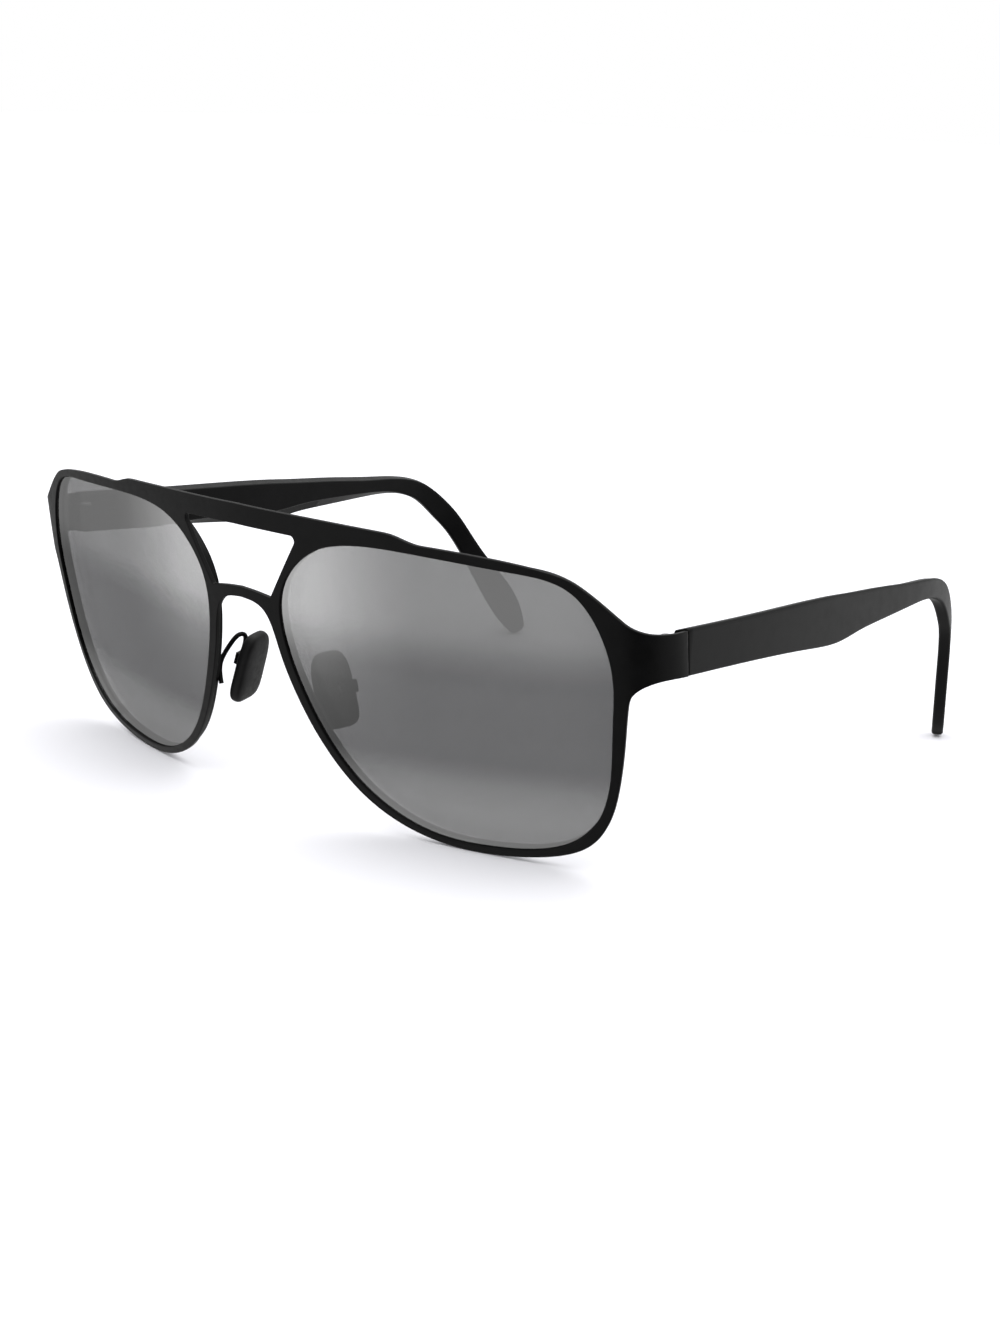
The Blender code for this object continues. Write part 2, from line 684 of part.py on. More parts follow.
def pad_frame():
    """Axes of a nose pad: x away from the nose, y back along its width, z up its length."""
    turn = Matrix.Rotation(-PAD_FLARE, 4, "Z") @ Matrix.Rotation(-PAD_LEAN, 4, "Y")
    return Matrix.Translation(PAD_CENTRE) @ turn @ Matrix.Rotation(PAD_PITCH, 4, "X")


def holder_frame():
    """The pad's axes, moved back to the middle of its insert and cup."""
    return pad_frame() @ Matrix.Translation((0, HOLDER_BACK, 0))


def pad_pivot():
    return holder_frame() @ Vector((PAD_THICK / 2 + PIVOT_OUT, 0, 0))


def nose_pad(name, side, look):
    """A soft cushion, domed towards the nose, with a pocket in its back."""
    frame = pad_frame()
    rings = []
    for across, scale in ((1.3, 0.84), (0.9, 0.96), (0.2, 1.0), (-0.6, 0.94), (-1.1, 0.78),
                          (-1.3, 0.45)):
        ring = []
        for k in range(32):
            angle = 2 * math.pi * k / 32
            cosine = math.cos(angle)
            sine = math.sin(angle)
            up = math.copysign(abs(sine) ** PAD_SQUARE, sine) * PAD_LENGTH / 2
            wide = math.copysign(abs(cosine) ** PAD_SQUARE, cosine) * PAD_WIDTH / 2
            wide *= 1 - PAD_TAPER * sine
            ring.append(frame @ Vector((across * MM, wide * scale, up * scale)))
        rings.append(ring)
    pad = build(name, *loft(rings), look, side, pad_pivot(), math.radians(50))
    low = (INSERT_FRONT - LOOSE, -INSERT_WIDE - LOOSE, -INSERT_TALL - LOOSE)
    pocket = block(low, (2 * MM, INSERT_WIDE + LOOSE, INSERT_TALL + LOOSE), holder_frame())
    combine(pad, "DIFFERENCE", pocket, side, pad_pivot())
    return pad


def pad_insert(name, side, look):
    """The stiff plate in the pad's back, with the boss that the cup holds."""
    frame = holder_frame()
    low = (INSERT_FRONT, -INSERT_WIDE, -INSERT_TALL)
    plate = block(low, (INSERT_BACK, INSERT_WIDE, INSERT_TALL), frame)
    made = build(name, *plate, look, side, pad_pivot())
    boss_wide = CUP_WIDTH / 2 - EAR - 0.08 * MM
    boss_tall = 0.7 * MM
    reach = PAD_THICK / 2 + PIVOT_OUT + boss_tall
    boss = block((MM, -boss_wide, -boss_tall), (reach, boss_wide, boss_tall), frame)
    combine(made, "UNION", boss, side, pad_pivot())
    combine(made, "DIFFERENCE", pad_bore(), side, pad_pivot())
    return made


def pad_bore():
    across = holder_frame().to_3x3() @ Vector((0, 1, 0))
    return turned(pad_pivot() - across * 3 * MM, across, ((0, PAD_BORE), (6 * MM, PAD_BORE)))


def pad_cup(name, side, look):
    """A U of two ears on a base, brazed to the end of the pad's arm."""
    frame = holder_frame()
    base = CUP_START + CUP_DEPTH
    tall = CUP_LENGTH / 2
    wide = CUP_WIDTH / 2
    shape = block((CUP_START, -wide, -tall), (base + EAR, wide, tall), frame)
    cup = build(name, *shape, look, side)
    room = block((CUP_START - MM, -wide + EAR, -tall - MM), (base, wide - EAR, tall + MM), frame)
    combine(cup, "DIFFERENCE", room, side, None)
    combine(cup, "DIFFERENCE", pad_bore(), side, None)
    return cup


def pad_screw(name, side, look):
    across = holder_frame().to_3x3() @ Vector((0, 1, 0))
    wide = CUP_WIDTH / 2
    profile = (
        (-wide - 0.4 * MM, 0.45 * MM), (-wide - 0.25 * MM, 0.65 * MM), (-wide - LOOSE, 0.65 * MM),
        (-wide - LOOSE, PAD_SCREW), (wide, PAD_SCREW),
    )
    return build(name, *turned(pad_pivot(), across, profile, 12), look, side)


def pad_arm(name, side, look):
    """The bent wire from the eyewire's back, up and over to the pad's cup."""
    frame = holder_frame()
    behind = CUP_START + CUP_DEPTH
    cup = frame @ Vector((behind, 0, CUP_LENGTH / 2 + ARM_RADIUS + LOOSE))
    above = frame @ Vector((behind - 0.1 * MM, -0.2 * MM, 3.4 * MM))
    line = evenly(cubic(metres(ARM_ROUTE) + [above, cup]), 22)
    return build(name, *tube(line, ARM_RADIUS), look, side, None, math.radians(40))


def main():
    clear_scene()
    looks = {
        "black": material("matte_black_metal", BLACK, 0.45, 0.6),
        "acetate": material("black_acetate", (0.01, 0.01, 0.01), 0.3),
        "lens": material("grey_lens", (0.3, 0.3, 0.3), 0.05, 0.0, 0.6),
        "silicone": material("black_silicone", (0.02, 0.02, 0.02), 0.6),
        "steel": material("steel", (0.5, 0.5, 0.5), 0.3, 1.0),
    }
    front_frame(looks["black"])
    for tag, side in SIDES.items():
        rim_wire(f"rim_wire_{tag}", side, looks["black"])
        lens(f"lens_{tag}", side, looks["lens"])
        closing_blocks(tag, side, looks)
        hinge_hardware(tag, side, looks)
        temple(f"temple_{tag}", side, looks["acetate"])
        core_wire(f"core_wire_{tag}", side, looks["steel"])
        nose_pad(f"nose_pad_{tag}", side, looks["silicone"])
        pad_insert(f"pad_insert_{tag}", side, looks["steel"])
        pad_cup(f"pad_cup_{tag}", side, looks["black"])
        pad_screw(f"pad_screw_{tag}", side, looks["steel"])
        pad_arm(f"pad_arm_{tag}", side, looks["black"])


main()
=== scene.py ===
import math

import bmesh
import bpy
import numpy as np
from mathutils import Matrix, Vector
from mathutils.geometry import delaunay_2d_cdt


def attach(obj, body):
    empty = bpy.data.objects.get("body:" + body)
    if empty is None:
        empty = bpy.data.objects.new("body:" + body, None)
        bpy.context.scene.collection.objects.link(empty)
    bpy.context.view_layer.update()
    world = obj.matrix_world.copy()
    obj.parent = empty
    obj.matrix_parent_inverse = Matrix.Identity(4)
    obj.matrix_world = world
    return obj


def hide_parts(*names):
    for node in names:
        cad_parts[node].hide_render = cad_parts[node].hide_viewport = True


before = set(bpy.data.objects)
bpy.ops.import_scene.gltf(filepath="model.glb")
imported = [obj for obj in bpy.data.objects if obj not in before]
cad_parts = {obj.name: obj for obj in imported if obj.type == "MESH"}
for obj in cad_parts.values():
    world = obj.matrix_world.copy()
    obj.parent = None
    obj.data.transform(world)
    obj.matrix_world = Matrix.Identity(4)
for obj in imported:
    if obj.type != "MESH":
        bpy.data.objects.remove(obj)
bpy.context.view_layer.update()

# Aviator sunglasses with a double bridge: fine meshes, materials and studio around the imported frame.
# Metres, +Z up, front towards -Y, wearer's left +X. The shapes and their driving sizes repeat those
# of the CAD part, drawn with more points and with rounded edges. Three things differ from it: the
# lens faces stand further forward, the pads' corners are squarer and the temple tips are rounder.

MM = 0.001
SIDES = {"left": 1, "right": -1}

# Placing of the front, and the middle of the whole object from front to back
FRONT_TILT = math.radians(11.03)
FRONT_HEIGHT = 25.43 * MM
DEPTH_CENTRE = 65.9 * MM
RECENTRE = Vector((0.0, DEPTH_CENTRE, 0.0))

# Curve of the front: y = FACE_WRAP |x| + FACE_BOW x^2 + FACE_DROP z^2, its keel rounded off
FACE_WRAP = 0.0415
FACE_BOW = 2.406
FACE_DROP = 2.024
KEEL = 6.0 * MM

# The endpieces bend back from the front until they run along the temples
BEND_START = 71.35 * MM
BEND_RADIUS = 8.5 * MM
TOE_IN = math.radians(4.5)
SHEET = 0.85 * MM
SHEET_STEP = 0.7 * MM
EDGE_ROUND = 0.14 * MM
EDGE_HOLD = 0.34 * MM
EDGE_STEPS = 4

# Grid of points that fills the sheet, in cells to each side of the middle, below and above it
SHEET_GRID = 1.0 * MM
GRID_ACROSS = 84
GRID_BELOW = 30
GRID_ABOVE = 31
GRID_CLEAR = 0.5 * SHEET_GRID

# Sharpest mitre of an outline that is moved inwards, and how far off its edge the inside is tested
MITRE_LEAST = 0.5
PROBE = 0.05 * MM

# Depths of the eyewires and lenses behind the sheet's outer face
WIRE_FRONT = SHEET + 0.06 * MM
WIRE_BACK = 2.3 * MM
GROOVE = 1.6 * MM
GROOVE_HALF = 0.42 * MM
LENS_FRONT = 0.38 * MM
LENS_STEP = 0.95 * MM
LENS_BACK = 2.65 * MM
RIDGE_HALF = 0.32 * MM

# Their distances outwards from the edge of the lens opening
WIRE_LIP = 0.13 * MM
WIRE_OUTER = 0.8 * MM
GROOVE_BOTTOM = 0.56 * MM
LENS_EDGE = 0.05 * MM
LENS_FACE_EDGE = -0.1 * MM
LENS_RIDGE = 0.42 * MM
OPENING_POINTS = 260
LENS_RINGS = 26
SPLIT = 0.25 * MM

# Hinge axis, and the temple's faces measured outwards from it
HINGE_AXIS = Vector((72.45 * MM, 22.3 * MM, 0.0))
TEMPLE_INNER = 1.4 * MM
TEMPLE_THICK = 2.8 * MM

# Nose pads and the wires that carry them
PAD_CENTRE = Vector((10.6, 10.1, 22.1)) * MM
PAD_LEAN = math.radians(17.5)
PAD_PITCH = math.radians(5)
PAD_FLARE = math.radians(16)
PAD_LENGTH = 13.6 * MM
PAD_WIDTH = 7.4 * MM
PAD_SQUARE = 0.5
PAD_TAPER = 0.1
PAD_POINTS = 72
PAD_PROFILE = (
    (1.3, 0.0), (1.3, 0.45), (1.28, 0.82), (1.0, 0.95), (0.3, 0.99), (-0.4, 0.97), (-0.95, 0.86),
    (-1.24, 0.55), (-1.34, 0.0),
)
HOLDER_BACK = 1.5 * MM
ARM_RADIUS = 0.42 * MM
CUP_LENGTH = 2.2 * MM
CUP_DEPTH = 1.6 * MM
CUP_START = 1.5 * MM
LOOSE = 0.06 * MM
ARM_BEND = (-0.1 * MM, -0.2 * MM, 3.4 * MM)
ARM_STEPS = 90
ARM_ROUTE = (
    (12.4, 4.75, 19.6), (13.4, 5.4, 22.9), (12.8, 6.9, 26.0), (12.0, 8.4, 27.9), (12.0, 9.8, 27.7),
)

# Lens opening of the wearer's left, from the closing block down round the lens, in mm
OPENING = (
    (69.3, 9.0), (68.9, -1.5), (66.3, -15.5), (58.8, -23.7), (46.1, -26.0), (33.3, -24.7),
    (21.5, -17.5), (12.9, -3.7), (9.2, 12.4), (12.9, 20.1), (21.0, 24.7), (37.7, 25.0),
    (54.0, 23.4), (64.1, 20.3),
)

# Half outlines of the flat sheet, in mm: its top edge, then its lower edge back to the middle
TOP_EDGE = (
    (0.0, 29.5), (10.0, 29.25), (20.8, 28.8), (30.6, 28.2), (33.5, 27.8), (37.0, 26.75),
    (40.2, 26.4), (49.8, 25.5), (57.1, 24.4), (62.1, 23.2), (64.6, 22.0), (67.8, 19.6),
    (70.4, 17.3), (72.0, 16.0), (73.7, 15.2), (76.0, 14.65), (79.4, 14.5), (83.3, 14.5),
)
LOWER_EDGE = (
    (82.9, 6.95), (80.0, 7.05), (77.0, 6.75), (74.2, 5.7), (72.5, 4.3), (71.7, 2.5),
    (70.6, -4.2), (69.1, -11.6), (66.8, -18.3), (62.3, -23.8), (54.3, -26.6), (45.4, -27.4),
    (36.5, -26.75), (27.6, -23.8), (20.1, -18.3), (14.5, -10.8), (11.2, -4.3), (8.6, 2.6),
    (7.3, 7.5), (5.9, 10.9), (3.7, 12.55), (0.0, 13.1),
)

# The gap between the two bridges: its top and bottom edges, each from the middle to a corner
GAP_TOP = ((0.0, 25.95), (7.0, 25.8), (14.3, 25.55))
GAP_BOTTOM = ((7.2, 14.1), (3.7, 14.65), (0.0, 14.95))
GAP_TOP_ROUND = 0.9
GAP_BOTTOM_ROUND = 0.35

# Middle line of a temple from the hinge to the tip: y, z, height, inset and turn in degrees
TEMPLE_LINE = (
    (22.9, 39.0, 7.8, 0.0, 0.0), (43.0, 37.95, 7.9, 0.0, 0.0), (60.0, 37.0, 8.5, 0.0, 0.0),
    (70.5, 36.4, 8.6, 0.0, 0.0), (78.0, 36.55, 7.2, 0.0, 0.0), (87.0, 36.6, 5.9, 0.0, 0.0),
    (97.0, 36.5, 4.4, 0.0, 0.0), (104.5, 36.25, 3.8, 0.2, 4.0), (111.3, 34.35, 4.1, 0.9, 15.0),
    (116.4, 30.0, 4.6, 2.05, 24.0), (119.8, 26.0, 4.4, 3.2, 26.5), (124.5, 18.0, 4.75, 5.45, 26.5),
    (129.2, 10.0, 6.4, 7.9, 26.5), (131.9, 4.7, 5.7, 9.3, 26.5), (133.2, 1.8, 3.9, 10.0, 26.5),
)
TEMPLE_STEPS = 150
END_LEAN = math.radians(6)
TEMPLE_ROUND = 0.55 * MM
TEMPLE_HOLD = 0.12 * MM
HOOK_THICK = 2.3 * MM
HOOK_START = 95.0 * MM
HOOK_FULL = 118.0 * MM
TIP_REACH = 1.5 * MM
TIP_STEPS = 8
TIP_THICKNESS = 0.3
CORNER_STEPS = 6
CORNER_SHARE = 0.9

# How far the temple's front end is drawn in at these distances along it: distance, amount, in mm
FRONT_EASING = ((0.0, 0.1), (0.05, 0.02), (0.12, 0.0))

# The turn in TEMPLE_LINE is scaled down by this while the line is spaced out evenly
TURN_WEIGHT = 0.1

# The inner face is a little lower along its top, and cut away below where the temple is deepest
CROWN = 0.5 * MM
BEVEL = 1.9 * MM
BEVEL_MIDDLE = 74.0 * MM
BEVEL_HALF = 34.0 * MM


# ---------------------------------------------------------------- curves and lines

def cubic(points, closed=False, per_span=30):
    """Dense points along the cubic spline through the given ones."""
    knots = np.array([tuple(point) for point in points], float)
    if closed:
        knots = np.vstack([knots, knots[:1]])
    spans = np.sqrt(np.linalg.norm(np.diff(knots, axis=0), axis=1))
    size = len(knots)
    matrix = np.zeros((size, size))
    right = np.zeros_like(knots)
    slopes = np.diff(knots, axis=0) / spans[:, None]
    for k in range(1, size - 1):
        matrix[k, k - 1 : k + 2] = (spans[k], 2 * (spans[k - 1] + spans[k]), spans[k - 1])
        right[k] = 3 * (spans[k] * slopes[k - 1] + spans[k - 1] * slopes[k])
    if closed:
        matrix[0, [0, 1, -2]] = (2 * (spans[-1] + spans[0]), spans[-1], spans[0])
        right[0] = 3 * (spans[0] * slopes[-1] + spans[-1] * slopes[0])
        matrix[-1, [0, -1]] = (1, -1)
    else:
        matrix[0, :2] = (2, 1)
        right[0] = 3 * slopes[0]
        matrix[-1, -2:] = (1, 2)
        right[-1] = 3 * slopes[-1]
    tangents = np.linalg.solve(matrix, right)
    made = []
    for k in range(size - 1):
        for t in np.arange(per_span) / per_span:
            rise = t * t * (3 - 2 * t)
            lead = t * (1 - t) ** 2 * tangents[k] - t * t * (1 - t) * tangents[k + 1]
            made.append(knots[k] * (1 - rise) + knots[k + 1] * rise + spans[k] * lead)
    if not closed:
        made.append(knots[-1])
    return [Vector(point) for point in made]


def evenly(line, steps):
    """The same open line in this many equal steps."""
    lengths = [0.0]
    for a, b in zip(line, line[1:]):
        lengths.append(lengths[-1] + (b - a).length)
    made = []
    span = 0
    for k in range(steps + 1):
        target = lengths[-1] * k / steps
        while span < len(line) - 2 and lengths[span + 1] < target:
            span += 1
        part = (target - lengths[span]) / (lengths[span + 1] - lengths[span])
        made.append(line[span].lerp(line[span + 1], min(part, 1.0)))
    return made


def spaced(line, step):
    length = sum((b - a).length for a, b in zip(line, line[1:]))
    return evenly(line, max(1, round(length / step)))


def round_corner(before, corner, after, radius, steps):
    """An arc that replaces the corner of two straight edges."""
    to_before = (before - corner).normalized()
    to_after = (after - corner).normalized()
    half = to_before.angle(to_after) / 2
    centre = corner + (to_before + to_after).normalized() * (radius / math.sin(half))
    first = (corner + to_before * (radius / math.tan(half)) - centre).normalized()
    last = (corner + to_after * (radius / math.tan(half)) - centre).normalized()
    return [centre + radius * first.slerp(last, k / steps) for k in range(steps + 1)]


def metres(points):
    return [Vector(point) * MM for point in points]


def mirrored(half):
    """A half outline and its mirror image, as one closed loop without doubled middle points."""
    other = [Vector((-point.x, point.y)) for point in reversed(half)]
    return half + [point for point in other if point.x < -1e-9]


# ---------------------------------------------------------------- the front's curved frame

def face_curve(x):
    """Depth and heading of the front's curve at this distance from the middle."""
    keel = math.hypot(x, KEEL)
    depth = FACE_WRAP * keel + FACE_BOW * x * x
    return depth, math.atan(FACE_WRAP * x / keel + 2 * FACE_BOW * x)


def sheet_path(x):
    """x, depth and heading of the front's curve, whose flat frame runs on round the endpiece."""
    if x <= BEND_START:
        depth, heading = face_curve(x)
        return x, depth, heading
    depth, start = face_curve(BEND_START)
    turn = math.pi / 2 + TOE_IN - start
    run = min(x - BEND_START, turn * BEND_RADIUS)
    heading = start + run / BEND_RADIUS
    along = BEND_START + BEND_RADIUS * (math.sin(heading) - math.sin(start))
    depth += BEND_RADIUS * (math.cos(start) - math.cos(heading))
    rest = x - BEND_START - run
    return along + rest * math.cos(heading), depth + rest * math.sin(heading), heading


def stood(point):
    """A point of the front's upright frame, leant forward into world space."""
    sine = math.sin(FRONT_TILT)
    cosine = math.cos(FRONT_TILT)
    x, y, z = point
    return Vector((x, cosine * y - sine * z, sine * y + cosine * z + FRONT_HEIGHT))


def face(x, z, depth=0.0):
    """World point at this place of the flat front, this deep behind its outer face."""
    side = -1 if x < 0 else 1
    along, back, heading = sheet_path(abs(x))
    level = z - math.tan(FRONT_TILT) * max(0.0, back - face_curve(BEND_START)[0])
    inward = Vector((-math.sin(heading), math.cos(heading), -2 * FACE_DROP * z)).normalized()
    point = Vector((along, back + FACE_DROP * z * z, level)) + inward * depth
    return stood((side * point.x, point.y, point.z))


# ---------------------------------------------------------------- meshes

def build(name, verts, faces, look, body, side=1, sharp=None):
    """A smooth object from a mesh made for the wearer's left, mirrored for the right."""
    mesh = bpy.data.meshes.new(name)
    flip = Matrix.Diagonal((side, 1, 1)).to_4x4()
    mesh.from_pydata([flip @ (Vector(vert) - RECENTRE) for vert in verts], [], faces)
    work = bmesh.new()
    work.from_mesh(mesh)
    bmesh.ops.recalc_face_normals(work, faces=work.faces)
    if work.calc_volume(signed=True) < 0:
        bmesh.ops.reverse_faces(work, faces=work.faces)
    work.to_mesh(mesh)
    work.free()
    obj = bpy.data.objects.new(name, mesh)
    mesh.materials.append(look)
    mesh.shade_smooth()
    if sharp:
        mesh.set_sharp_from_angle(angle=math.radians(sharp))
    bpy.context.scene.collection.objects.link(obj)
    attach(obj, body)
    return obj


def loft(rings, caps=True):
    """Verts and faces of a skin over equal rings."""
    size = len(rings[0])
    verts = [point for ring in rings for point in ring]
    faces = []
    for k in range(len(rings) - 1):
        for j in range(size):
            turn = (j + 1) % size
            faces.append((k * size + j, k * size + turn, (k + 1) * size + turn, (k + 1) * size + j))
    if caps:
        faces.append(tuple(range(size)))
        faces.append(tuple(len(verts) - size + j for j in range(size)))
    return verts, faces


def tube(line, radius, sides=20):
    """A round wire along a line, with its rings turned as little as possible."""
    rings = []
    across = None
    for k, point in enumerate(line):
        ahead = line[min(k + 1, len(line) - 1)]
        behind = line[max(k - 1, 0)]
        tangent = (ahead - behind).normalized()
        across = across or tangent.orthogonal()
        across = (across - across.dot(tangent) * tangent).normalized()
        up = tangent.cross(across)
        turns = (2 * math.pi * j / sides for j in range(sides))
        rings.append([point + radius * (math.cos(t) * across + math.sin(t) * up) for t in turns])
    return loft(rings)


def opening():
    """The lens opening's outline, as points and their outward directions."""
    line = cubic(metres(OPENING), closed=True)
    points = evenly(line + line[:1], OPENING_POINTS)[:-1]
    size = len(points)
    outward = []
    for k in range(size):
        along = (points[(k + 1) % size] - points[k - 1]).normalized()
        outward.append(Vector((-along.y, along.x)))
    middle = sum(points, Vector((0.0, 0.0))) / size
    if outward[0].dot(points[0] - middle) < 0:
        outward = [-way for way in outward]
    return points, outward


# ---------------------------------------------------------------- the front sheet

def sheet_outline():
    top = spaced(cubic(metres(TOP_EDGE)), SHEET_STEP)
    low = spaced(cubic(metres(LOWER_EDGE)), SHEET_STEP)
    end = spaced([top[-1], low[0]], SHEET_STEP)[1:-1]
    return mirrored(top + end + low)


def gap_outline():
    top = metres(GAP_TOP)
    low = metres(GAP_BOTTOM)
    upper = round_corner(top[-2], top[-1], low[0], GAP_TOP_ROUND * MM, 10)
    lower = round_corner(top[-1], low[0], low[1], GAP_BOTTOM_ROUND * MM, 6)
    half = spaced(cubic([top[0], top[1], upper[0]]), SHEET_STEP)[:-1] + upper
    half += spaced([upper[-1], lower[0]], SHEET_STEP)[1:-1] + lower
    return mirrored(half + spaced(cubic([lower[-1], low[1], low[2]]), SHEET_STEP)[1:])


def sheet_loops():
    hole, _ = opening()
    other = [Vector((-point.x, point.y)) for point in reversed(hole)]
    return [sheet_outline(), gap_outline(), hole, other]


def inside(points, loops):
    """For each flat point, whether it is inside an odd number of the loops."""
    odd = np.zeros(len(points), bool)
    for loop in loops:
        start = np.array([tuple(point) for point in loop])
        end = np.roll(start, -1, axis=0)
        rise = np.where(end[:, 1] == start[:, 1], 1.0, end[:, 1] - start[:, 1])
        across = start[:, 0] + (points[:, 1:] - start[:, 1]) * (end[:, 0] - start[:, 0]) / rise
        spans = (start[:, 1] > points[:, 1:]) != (end[:, 1] > points[:, 1:])
        odd ^= (spans & (points[:, :1] < across)).sum(axis=1) % 2 == 1
    return odd


def inset(loop, loops, distance):
    """The loop moved into the sheet's material by this distance."""
    size = len(loop)
    ways = []
    for k in range(size):
        before = (loop[k] - loop[k - 1]).normalized()
        after = (loop[(k + 1) % size] - loop[k]).normalized()
        way = Vector((-before.y - after.y, before.x + after.x)).normalized()
        ways.append(way / max(MITRE_LEAST, way.dot(Vector((-after.y, after.x)))))
    probe = np.array([tuple(point + way * PROBE) for point, way in zip(loop, ways)])
    if inside(probe, loops).mean() < 0.5:
        ways = [-way for way in ways]
    return [point + way * distance for point, way in zip(loop, ways)]


def sheet_fill(loops, edge):
    """A grid of points inside the sheet, clear of its edges."""
    columns = np.arange(-GRID_ACROSS, GRID_ACROSS + 1) * SHEET_GRID
    rows = np.arange(-GRID_BELOW, GRID_ABOVE + 1) * SHEET_GRID
    grid = np.array([(x, z) for x in columns for z in rows])
    grid = grid[inside(grid, loops)]
    rim = np.array([tuple(point) for point in edge])
    gaps = np.sqrt(((grid[:, None] - rim[None]) ** 2).sum(axis=2)).min(axis=1)
    return [Vector(point) for point in grid[gaps > GRID_CLEAR]]


def front_sheet(look):
    """Rims, top bar, lower bridge and endpieces in one bent sheet with softened edges."""
    loops = sheet_loops()
    borders = [inset(loop, loops, EDGE_ROUND) for loop in loops]
    holds = [inset(loop, loops, EDGE_HOLD) for loop in loops]
    points = []
    edges = []
    starts = []
    for loop in borders + holds:
        start = len(points)
        starts.append(start)
        edges += [(start + k, start + (k + 1) % len(loop)) for k in range(len(loop))]
        points += loop
    points += sheet_fill(loops, [point for loop in holds for point in loop])
    placed, _, triangles, origins, *_ = delaunay_2d_cdt(
        [point / MM for point in points], edges, [], 0, 1e-6
    )
    index = {origin: k for k, group in enumerate(origins) for origin in group}
    middles = np.array([tuple(sum((placed[k] for k in t), Vector((0, 0))) / 3) for t in triangles])
    kept = [tuple(t) for t, good in zip(triangles, inside(middles * MM, borders)) if good]
    size = len(placed)
    verts = [face(point.x * MM, point.y * MM) for point in placed]
    verts += [face(point.x * MM, point.y * MM, SHEET) for point in placed]
    faces = kept + [tuple(size + k for k in reversed(triangle)) for triangle in kept]
    angles = [math.radians(90 * k / EDGE_STEPS) for k in range(1, EDGE_STEPS)]
    arc = [(1 - math.sin(angle), 1 - math.cos(angle)) for angle in angles]
    profile = [(EDGE_ROUND * u, EDGE_ROUND * v) for u, v in arc] + [(0.0, EDGE_ROUND)]
    profile += [(u, SHEET - depth) for u, depth in reversed(profile)]
    for number, loop in enumerate(loops):
        count = len(loop)
        rows = [[index[starts[number] + k] for k in range(count)]]
        for u, depth in profile:
            rows.append(range(len(verts), len(verts) + count))
            verts += [face(point.x, point.y, depth) for point in inset(loop, loops, u)]
        rows.append([size + k for k in rows[0]])
        for upper, lower in zip(rows, rows[1:]):
            for k in range(count):
                after = (k + 1) % count
                faces.append((upper[k], upper[after], lower[after], lower[k]))
    return build("front_sheet", verts, faces, look, "front", sharp=60)


# ---------------------------------------------------------------- eyewires and lenses

def eyewire(tag, side, look):
    """The grooved eyewire behind the sheet, open where the closing blocks meet."""
    points, outward = opening()
    count = len(points)
    section = (
        (WIRE_LIP, WIRE_FRONT), (WIRE_LIP, GROOVE - GROOVE_HALF), (GROOVE_BOTTOM, GROOVE),
        (WIRE_LIP, GROOVE + GROOVE_HALF), (WIRE_LIP, WIRE_BACK), (WIRE_OUTER, WIRE_BACK),
        (WIRE_OUTER, WIRE_FRONT),
    )
    rings = []
    for k in range(count + 1):
        shift = {0: 1, count: -1}.get(k, 0)
        at = points[k % count]
        if shift:
            near = points[(k + shift) % count]
            at = at + (near - at).normalized() * SPLIT
        way = outward[k % count]
        rings.append([face(at.x + way.x * u, at.y + way.y * u, depth) for u, depth in section])
    return build(f"eyewire_{tag}", *loft(rings), look, "front", side, sharp=30)


def lens(tag, side, look):
    """A curved lens whose face stands in the sheet's opening and whose ridge sits in the eyewire."""
    points, outward = opening()
    size = len(points)
    middle = sum(points, Vector((0.0, 0.0))) / size

    def ring(shrink, u, depth):
        flat = [middle.lerp(point + way * u, shrink) for point, way in zip(points, outward)]
        return [face(at.x, at.y, depth) for at in flat]

    shrinks = [(k + 1) / LENS_RINGS for k in range(LENS_RINGS - 1)]
    rings = [ring(shrink, LENS_FACE_EDGE, LENS_FRONT) for shrink in shrinks]
    for u, depth in (
        (LENS_FACE_EDGE, LENS_FRONT), (LENS_FACE_EDGE, LENS_STEP), (LENS_EDGE, LENS_STEP),
        (LENS_EDGE, GROOVE - RIDGE_HALF), (LENS_RIDGE, GROOVE),
        (LENS_EDGE, GROOVE + RIDGE_HALF), (LENS_EDGE, LENS_BACK),
    ):
        rings.append(ring(1.0, u, depth))
    rings += [ring(shrink, LENS_EDGE, LENS_BACK) for shrink in reversed(shrinks)]
    verts, faces = loft(rings, caps=False)
    for depth, start in ((LENS_FRONT, 0), (LENS_BACK, len(verts) - size)):
        centre = len(verts)
        verts.append(face(middle.x, middle.y, depth))
        faces += [(start + j, start + (j + 1) % size, centre) for j in range(size)]
    return build(f"mirror_lens_{tag}", verts, faces, look, "front", side, sharp=35)


# ---------------------------------------------------------------- temples

def hinge_frame():
    turn = Matrix.Rotation(TOE_IN, 4, "Z")
    return Matrix.Translation(HINGE_AXIS) @ turn


def temple_middle(point):
    """World point of the temple's middle line at this row of TEMPLE_LINE, already in metres."""
    start = hinge_frame() @ Vector((TEMPLE_INNER + TEMPLE_THICK / 2, 0, 0))
    across = start.x - math.tan(TOE_IN) * (point[0] - start.y) - point[3]
    return Vector((across, point[0], point[1]))


